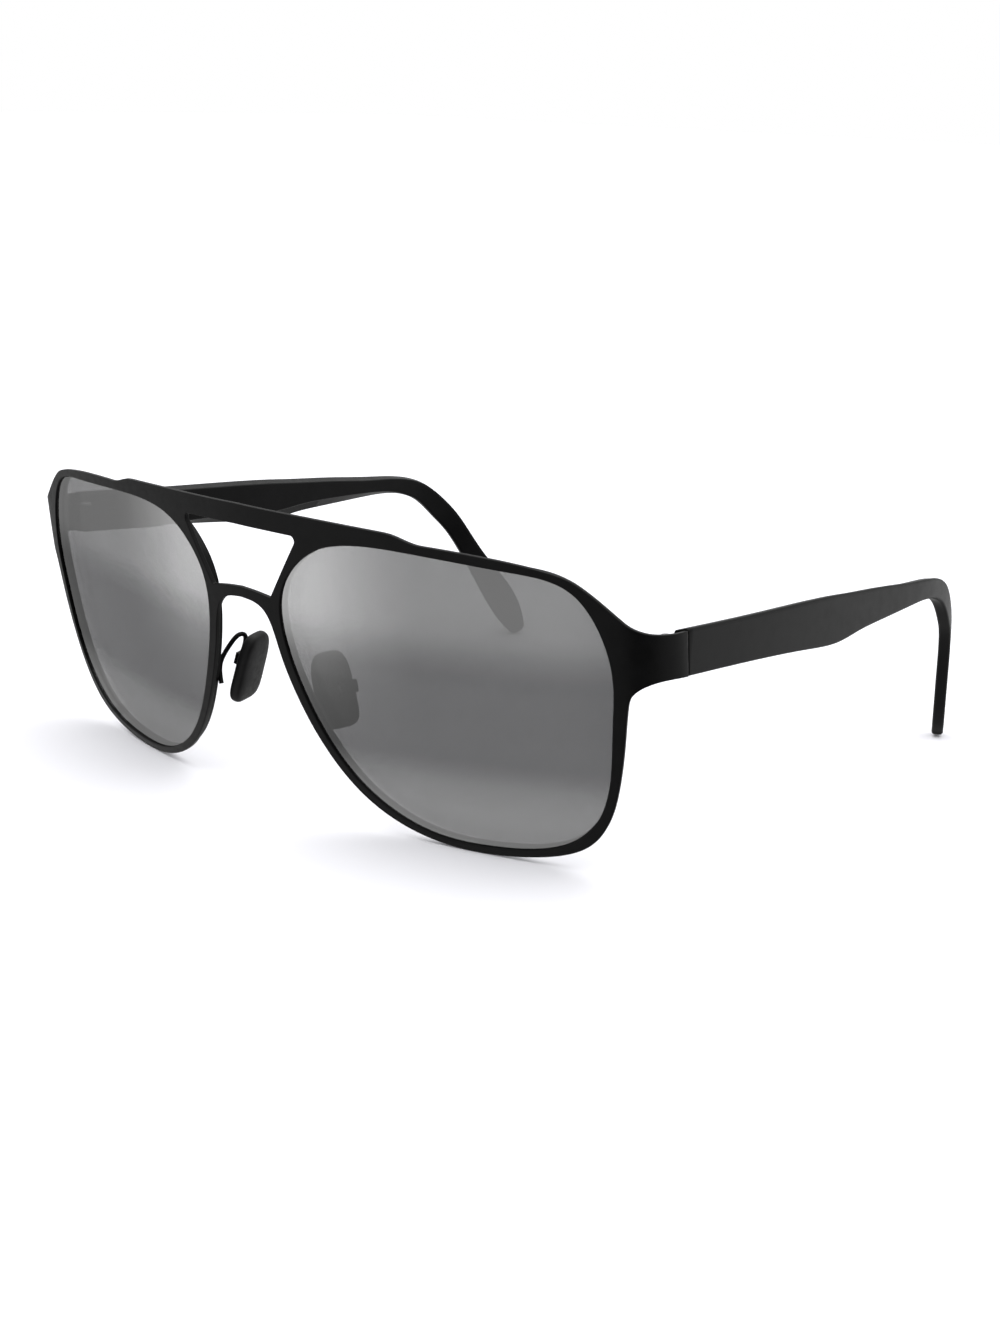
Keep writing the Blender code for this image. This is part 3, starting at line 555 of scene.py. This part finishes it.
def temple_stations():
    """Middle points, with their run, rise and inward directions, and the sizes of their sections."""
    rows = evenly(cubic([(*row[:4], TURN_WEIGHT * row[4]) for row in TEMPLE_LINE]), TEMPLE_STEPS)
    rows = [[value * MM for value in row] for row in rows]
    places = [temple_middle(row) for row in rows]
    stations = []
    for k, (y, _, height, _, turn) in enumerate(rows):
        ahead = places[min(k + 1, TEMPLE_STEPS)]
        run = (ahead - places[max(k - 1, 0)]).normalized()
        if k == 0:
            run = Vector((-math.sin(TOE_IN), math.cos(TOE_IN), math.tan(END_LEAN))).normalized()
        heading = TOE_IN + math.radians(turn / MM / TURN_WEIGHT)
        out = Vector((math.cos(heading), math.sin(heading), 0))
        out = (out - out.dot(run) * run).normalized()
        part = min(1.0, max(0.0, (y - HOOK_START) / (HOOK_FULL - HOOK_START)))
        thick = TEMPLE_THICK + (HOOK_THICK - TEMPLE_THICK) * part
        bevel = BEVEL * max(0.0, 1 - ((y - BEVEL_MIDDLE) / BEVEL_HALF) ** 2)
        crown = CROWN * (1 - part)
        stations.append((places[k], run, out.cross(run), -out, height, thick, crown, bevel))
    return stations


def temple_ring(station, shrink=1.0, margin=0.0):
    """A section of the temple: a rectangle with rounded corners, its lower inner one cut away."""
    middle, _, rise, inward, height, thick, crown, bevel = station
    wide = thick * max(shrink, TIP_THICKNESS) / 2 - margin
    tall = height * shrink / 2 - margin
    corner = min(TEMPLE_ROUND, CORNER_SHARE * wide)
    ring = []
    for x, z, start in ((1, 1, 0), (-1, 1, 90), (-1, -1, 180), (1, -1, 270)):
        lift = {(1, 1): -crown, (1, -1): bevel}.get((x, z), 0.0)
        angles = [math.radians(start + 90 * k / CORNER_STEPS) for k in range(CORNER_STEPS + 1)]
        arc = [(math.cos(angle), math.sin(angle)) for angle in angles]
        first = Vector((-math.sin(angles[0]), math.cos(angles[0]))) * TEMPLE_HOLD
        last = Vector((-math.sin(angles[-1]), math.cos(angles[-1]))) * TEMPLE_HOLD
        spots = [Vector((corner * a, corner * b)) for a, b in arc]
        spots = [spots[0] - first] + spots + [spots[-1] + last]
        for spot in spots:
            across = x * (wide - corner) + spot.x
            up = z * (tall - corner) + spot.y + lift
            ring.append(middle + inward * across + rise * up)
    return ring


def temple(tag, side, look):
    """The moulded arm, with a rounded tip and a crisp front end."""
    stations = temple_stations()
    first = stations[0]
    rings = []
    for along, drawn_in in FRONT_EASING:
        end = (first[0] + first[1] * along * MM, *first[1:])
        rings.append(temple_ring(end, margin=drawn_in * MM))
    rings += [temple_ring(station) for station in stations[1:]]
    last = stations[-1]
    for k in range(1, TIP_STEPS):
        turn = math.radians(90 * k / TIP_STEPS)
        tip = (last[0] + last[1] * TIP_REACH * math.sin(turn), *last[1:])
        rings.append(temple_ring(tip, math.cos(turn)))
    verts, faces = loft(rings)
    return build(f"temple_arm_{tag}", verts, faces, look, f"temple_arm_{tag}", side, sharp=50)


# ---------------------------------------------------------------- nose pads

def pad_frame():
    """Axes of a nose pad: x away from the nose, y back along its width, z up its length."""
    turn = Matrix.Rotation(-PAD_FLARE, 4, "Z") @ Matrix.Rotation(-PAD_LEAN, 4, "Y")
    return Matrix.Translation(PAD_CENTRE) @ turn @ Matrix.Rotation(PAD_PITCH, 4, "X")


def holder_frame():
    """The pad's axes, moved back to the middle of its insert and cup."""
    return pad_frame() @ Matrix.Translation((0, HOLDER_BACK, 0))


def cushion(tag, side, look):
    """A soft pad, domed towards the nose, moulded round its insert."""
    frame_of_pad = pad_frame()
    rings = []
    for across, scale in cubic(PAD_PROFILE, per_span=4)[1:-1]:
        ring = []
        for k in range(PAD_POINTS):
            angle = 2 * math.pi * k / PAD_POINTS
            cosine = math.cos(angle)
            sine = math.sin(angle)
            up = math.copysign(abs(sine) ** PAD_SQUARE, sine) * PAD_LENGTH / 2
            wide = math.copysign(abs(cosine) ** PAD_SQUARE, cosine) * PAD_WIDTH / 2
            wide *= 1 - PAD_TAPER * sine
            ring.append(frame_of_pad @ Vector((across * MM, wide * scale, up * scale)))
        rings.append(ring)
    return build(f"pad_cushion_{tag}", *loft(rings), look, f"pad_{tag}", side)


def pad_wire(tag, side, look):
    """The bent wire from the eyewire's back, up and over to the pad's cup."""
    holder = holder_frame()
    behind = CUP_START + CUP_DEPTH
    cup = holder @ Vector((behind, 0, CUP_LENGTH / 2 + ARM_RADIUS + LOOSE))
    above = holder @ Vector((behind + ARM_BEND[0], ARM_BEND[1], ARM_BEND[2]))
    line = evenly(cubic(metres(ARM_ROUTE) + [above, cup]), ARM_STEPS)
    return build(f"pad_wire_{tag}", *tube(line, ARM_RADIUS), look, "front", side, sharp=60)


# ---------------------------------------------------------------- materials

# Most of a noise's values lie between these, and the greys are this much bluer than neutral
NOISE_LOW = 0.3
NOISE_HIGH = 0.7
COOL = 1.04


class Look:
    """A material whose nodes are added one after the other."""

    def __init__(self, name):
        self.material = bpy.data.materials.new(name)
        self.material.use_nodes = True
        self.tree = self.material.node_tree
        self.shader = self.tree.nodes["Principled BSDF"]
        self.place = self.add("ShaderNodeTexCoord").outputs["Object"]

    def add(self, kind, **settings):
        node = self.tree.nodes.new(kind)
        for key, value in settings.items():
            setattr(node, key, value)
        return node

    def link(self, output, target):
        self.tree.links.new(output, target)

    def noise(self, scale, detail=3.0, stretch=None):
        """Noise at this many cells a metre, drawn out along an axis where stretch says so."""
        node = self.add("ShaderNodeTexNoise")
        node.inputs["Scale"].default_value = scale
        node.inputs["Detail"].default_value = detail
        source = self.place
        if stretch:
            mapping = self.add("ShaderNodeMapping")
            mapping.inputs["Scale"].default_value = stretch
            self.link(source, mapping.inputs["Vector"])
            source = mapping.outputs["Vector"]
        self.link(source, node.inputs["Vector"])
        return node.outputs["Fac"]

    def ranged(self, source, low, high, start=NOISE_LOW, end=NOISE_HIGH):
        node = self.add("ShaderNodeMapRange")
        for key, value in (("From Min", start), ("From Max", end), ("To Min", low), ("To Max", high)):
            node.inputs[key].default_value = value
        self.link(source, node.inputs["Value"])
        return node.outputs["Result"]

    def grey(self, source, low, high):
        """A colour between two greys, slightly cool."""
        ramp = self.add("ShaderNodeValToRGB")
        ramp.color_ramp.elements[0].position = NOISE_LOW
        ramp.color_ramp.elements[1].position = NOISE_HIGH
        ramp.color_ramp.elements[0].color = (low, low, low * COOL, 1)
        ramp.color_ramp.elements[1].color = (high, high, high * COOL, 1)
        self.link(source, ramp.inputs["Fac"])
        self.link(ramp.outputs["Color"], self.shader.inputs["Base Color"])

    def roughness(self, source, low, high):
        self.link(self.ranged(source, low, high), self.shader.inputs["Roughness"])

    def bump(self, source, distance, strength):
        node = self.add("ShaderNodeBump")
        node.inputs["Distance"].default_value = distance
        node.inputs["Strength"].default_value = strength
        self.link(source, node.inputs["Height"])
        self.link(node.outputs["Normal"], self.shader.inputs["Normal"])

    def set(self, **values):
        for key, value in values.items():
            self.shader.inputs[key.replace("_", " ")].default_value = value


def matte_metal():
    """Satin black lacquer on metal, with a fine orange peel."""
    look = Look("matte_black_metal")
    look.set(Metallic=0.0, Specular_IOR_Level=0.13)
    look.grey(look.noise(260, 4), 0.0016, 0.0028)
    look.roughness(look.noise(900, 3), 0.4, 0.48)
    look.bump(look.noise(5200, 2), 0.02 * MM, 0.25)
    return look.material


def acetate():
    """Moulded black plastic with a soft sheen."""
    look = Look("black_acetate")
    look.set(Metallic=0.0, Specular_IOR_Level=0.09)
    look.grey(look.noise(180, 4), 0.0022, 0.0032)
    look.roughness(look.noise(500, 3), 0.3, 0.37)
    look.bump(look.noise(3000, 2), 0.02 * MM, 0.12)
    return look.material


def silicone():
    look = Look("black_silicone")
    look.set(Metallic=0.0, Specular_IOR_Level=0.2)
    look.grey(look.noise(400, 3), 0.004, 0.0065)
    look.roughness(look.noise(1200, 3), 0.42, 0.55)
    look.bump(look.noise(6000, 2), 0.02 * MM, 0.2)
    return look.material


def steel():
    """Turned steel, with fine rings of tool marks across it."""
    look = Look("steel")
    look.set(Metallic=1.0)
    look.grey(look.noise(1500, 4, (1, 1, 6)), 0.32, 0.46)
    look.roughness(look.noise(2600, 3, (1, 1, 8)), 0.24, 0.36)
    look.bump(look.noise(9000, 2, (1, 1, 5)), 0.01 * MM, 0.2)
    return look.material


# Mirror coating: its strength up the lens, and the brighter patch beside the nose (mm, value). Both
# are painted reflection. They follow the light and dark bands seen on the real lenses from one view.
# The bands are set as a double gradient of the coating, and the patch is a soft light's reflection.
LENS_ALPHA = 0.74
LENS_GAIN = 1.66
# Strength of the mirror up the lens: a double gradient whose dark middle band and lighter top and
# bottom are painted reflection
LENS_PAINTED_BAND = (
    (-27, 0.168), (-19, 0.166), (-14, 0.118), (-11, 0.066), (-8, 0.06), (2, 0.06),
    (6, 0.066), (10, 0.122), (13, 0.164), (27, 0.168),
)
# Brighter patch beside the nose, up the lens and across it: a painted reflection of a soft light
LENS_PAINTED_GLOW_UP = (
    (-27, 0.02), (-10, 0.03), (-2, 0.08), (2, 0.14), (6, 0.25), (10, 0.36), (14, 0.42), (27, 0.42),
)
LENS_PAINTED_GLOW_ACROSS = (
    (0, 0.54), (14, 0.54), (18, 0.47), (22, 0.33), (26, 0.21), (32, 0.07), (38, 0.0), (56, 0.0),
)


def grey_lens():
    """Grey mirror coating, darker in a band across the middle and brightest beside the nose: both are
    painted reflection in the base colour, the band set as a double gradient of the coating.
    """
    look = Look("grey_lens")
    look.set(Metallic=1.0, Alpha=LENS_ALPHA, Specular_Tint=(0.62, 0.62, 0.62, 1.0))
    split = look.add("ShaderNodeSeparateXYZ")
    look.link(look.place, split.inputs["Vector"])
    height = look.add("ShaderNodeVectorMath", operation="DOT_PRODUCT")
    height.inputs[1].default_value = (0, -math.sin(FRONT_TILT), math.cos(FRONT_TILT))
    look.link(look.place, height.inputs[0])
    level = -math.cos(FRONT_TILT) * FRONT_HEIGHT - math.sin(FRONT_TILT) * DEPTH_CENTRE

    def ramp(source, stops, offset=0.0):
        """A value that follows the stops' (mm, value) pairs, from a length in metres."""
        spread = look.ranged(source, 0.0, 1.0, stops[0][0] * MM - offset, stops[-1][0] * MM - offset)
        node = look.add("ShaderNodeValToRGB")
        node.color_ramp.interpolation = "CARDINAL"
        made = node.color_ramp.elements
        made.remove(made[1])
        for k, (at, value) in enumerate(stops):
            position = (at - stops[0][0]) / (stops[-1][0] - stops[0][0])
            element = made.new(position) if k else made[0]
            element.color = (value, value, value, 1)
        look.link(spread, node.inputs["Fac"])
        return node.outputs["Color"]

    # Painted reflection: the bands up the lens and the patch beside the nose are put into the
    # coating's colour
    painted_band = ramp(height.outputs["Value"], LENS_PAINTED_BAND, level)
    # The patch beside the nose: painted reflection of a soft light, from its rise up the lens times
    # its fall across it
    painted_glow_up = ramp(height.outputs["Value"], LENS_PAINTED_GLOW_UP, level)
    size = look.add("ShaderNodeMath", operation="ABSOLUTE")
    look.link(split.outputs["X"], size.inputs[0])
    painted_glow_across = ramp(size.outputs["Value"], LENS_PAINTED_GLOW_ACROSS)
    painted_glow = look.add("ShaderNodeVectorMath", operation="MULTIPLY")
    look.link(painted_glow_up, painted_glow.inputs[0])
    look.link(painted_glow_across, painted_glow.inputs[1])
    total = look.add("ShaderNodeVectorMath", operation="ADD")
    look.link(painted_band, total.inputs[0])
    look.link(painted_glow.outputs["Vector"], total.inputs[1])
    gain = look.add("ShaderNodeVectorMath", operation="SCALE")
    gain.inputs["Scale"].default_value = LENS_GAIN
    look.link(total.outputs["Vector"], gain.inputs[0])
    look.link(gain.outputs["Vector"], look.shader.inputs["Base Color"])
    look.roughness(look.noise(120, 3), 0.045, 0.07)
    return look.material


# ---------------------------------------------------------------- studio

WORLD_LEVEL = 0.75
DARK_WAY = Vector((0.641, -0.641, -0.4226))
DARK_SPREAD = (0.70, 0.93)
GLOW_WAY = Vector((0.30, 0.95, -0.08)).normalized()
GLOW_SPREAD = (0.90, 0.99)
GLOW_LEVEL = 0.15

TABLE_HALF = 4.0
TABLE_TONES = (0.9, 0.93)

SUN_STRENGTH = 2.3
SUN_SPREAD = math.radians(90)

PANEL_PLACE = Vector((105.0, 200.0, 30.0)) * MM
PANEL_AIM = Vector((69.0, 95.0, 36.0)) * MM
PANEL_WIDE = 60.0 * MM
PANEL_TALL = 120.0 * MM
PANEL_POWER = 0.02

# The photographer's camera: its place, its turns about x, y and z in degrees, and its lens in mm
CAMERA_PLACE = Vector((289.35, -260.14, 126.63)) * MM
CAMERA_TURN = (75.58, -1.69, 42.12)
CAMERA_SENSOR = 36.0
CAMERA_FOCAL = 62.95


def studio_world():
    """A pale room, dark low behind the camera and a little brighter far behind the object."""
    world = bpy.data.worlds.new("studio")
    bpy.context.scene.world = world
    world.use_nodes = True
    tree = world.node_tree
    background = tree.nodes["Background"]
    output = tree.nodes["World Output"]
    way = tree.nodes.new("ShaderNodeTexCoord").outputs["Generated"]

    def toward(direction, start, end, low, high):
        dot = tree.nodes.new("ShaderNodeVectorMath")
        dot.operation = "DOT_PRODUCT"
        dot.inputs[1].default_value = direction
        tree.links.new(way, dot.inputs[0])
        spread = tree.nodes.new("ShaderNodeMapRange")
        spread.interpolation_type = "SMOOTHSTEP"
        for key, value in (("From Min", start), ("From Max", end), ("To Min", low), ("To Max", high)):
            spread.inputs[key].default_value = value
        tree.links.new(dot.outputs["Value"], spread.inputs["Value"])
        return spread.outputs["Result"]

    dark = toward(DARK_WAY, *DARK_SPREAD, WORLD_LEVEL, 0.0)
    glow = toward(GLOW_WAY, *GLOW_SPREAD, 0.0, GLOW_LEVEL)
    total = tree.nodes.new("ShaderNodeMath")
    total.operation = "ADD"
    tree.links.new(dark, total.inputs[0])
    tree.links.new(glow, total.inputs[1])
    tree.links.new(total.outputs["Value"], background.inputs["Strength"])
    background.inputs["Color"].default_value = (1, 1, 1, 1)
    white = tree.nodes.new("ShaderNodeBackground")
    mix = tree.nodes.new("ShaderNodeMixShader")
    path = tree.nodes.new("ShaderNodeLightPath")
    tree.links.new(path.outputs["Is Camera Ray"], mix.inputs["Fac"])
    tree.links.new(background.outputs["Background"], mix.inputs[1])
    tree.links.new(white.outputs["Background"], mix.inputs[2])
    white.inputs["Color"].default_value = (1, 1, 1, 1)
    tree.links.new(mix.outputs["Shader"], output.inputs["Surface"])


def floor():
    """A wide white table top under the object."""
    half = TABLE_HALF
    corners = [(-half, -half, 0), (half, -half, 0), (half, half, 0), (-half, half, 0)]
    mesh = bpy.data.meshes.new("table_top")
    mesh.from_pydata(corners, [], [(0, 1, 2, 3)])
    obj = bpy.data.objects.new("table_top", mesh)
    look = Look("white_table")
    look.set(Specular_IOR_Level=0.0, Roughness=1.0)
    look.grey(look.noise(6, 2), *TABLE_TONES)
    mesh.materials.append(look.material)
    bpy.context.scene.collection.objects.link(obj)
    obj.visible_glossy = False


def overhead_light():
    """One wide soft light straight above, so that the table is evenly white."""
    light = bpy.data.lights.new("overhead", "SUN")
    light.energy = SUN_STRENGTH
    light.angle = SUN_SPREAD
    obj = bpy.data.objects.new("overhead", light)
    bpy.context.scene.collection.objects.link(obj)


def ear_panel():
    """A small panel beside the temple, which brightens it towards the ear bend."""
    light = bpy.data.lights.new("ear_panel", "AREA")
    light.shape = "RECTANGLE"
    light.size = PANEL_WIDE
    light.size_y = PANEL_TALL
    light.energy = PANEL_POWER
    obj = bpy.data.objects.new("ear_panel", light)
    obj.location = PANEL_PLACE - RECENTRE
    obj.rotation_euler = (PANEL_AIM - PANEL_PLACE).to_track_quat("-Z", "Y").to_euler()
    obj.visible_camera = False
    bpy.context.scene.collection.objects.link(obj)


def camera():
    """The photographer's view, from the wearer's left and a little above."""
    data = bpy.data.cameras.new("camera")
    data.sensor_width = CAMERA_SENSOR
    data.lens = CAMERA_FOCAL
    data.clip_start = 0.01
    obj = bpy.data.objects.new("camera", data)
    obj.location = CAMERA_PLACE - RECENTRE
    obj.rotation_euler = [math.radians(angle) for angle in CAMERA_TURN]
    bpy.context.scene.collection.objects.link(obj)
    bpy.context.scene.camera = obj


# ---------------------------------------------------------------- putting it together

def main():
    looks = {
        "matte_black_metal": matte_metal(),
        "black_acetate": acetate(),
        "black_silicone": silicone(),
        "steel": steel(),
        "grey_lens": grey_lens(),
    }
    kept = {
        "closing_block_upper": "matte_black_metal", "closing_block_lower": "matte_black_metal",
        "closing_screw": "steel", "hinge_front": "matte_black_metal",
        "hinge_temple": "matte_black_metal", "hinge_screw": "steel", "core_wire": "steel",
        "pad_insert": "steel", "pad_cup": "matte_black_metal", "pad_screw": "steel",
    }
    sheet = front_sheet(looks["matte_black_metal"])
    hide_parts("front_frame")
    makers = (
        (eyewire, "rim_wire", "matte_black_metal"), (lens, "lens", "grey_lens"),
        (temple, "temple", "black_acetate"), (cushion, "nose_pad", "black_silicone"),
        (pad_wire, "pad_arm", "matte_black_metal"),
    )
    for tag, side in SIDES.items():
        for make, node, slot in makers:
            piece = make(tag, side, looks[slot])
            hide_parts(f"{node}_{tag}")
        for node, slot in kept.items():
            obj = bpy.data.objects[f"{node}_{tag}"]
            obj.material_slots[0].material = looks[slot]
    studio_world()
    floor()
    overhead_light()
    ear_panel()
    camera()
    bpy.context.scene.view_settings.view_transform = "Standard"


main()
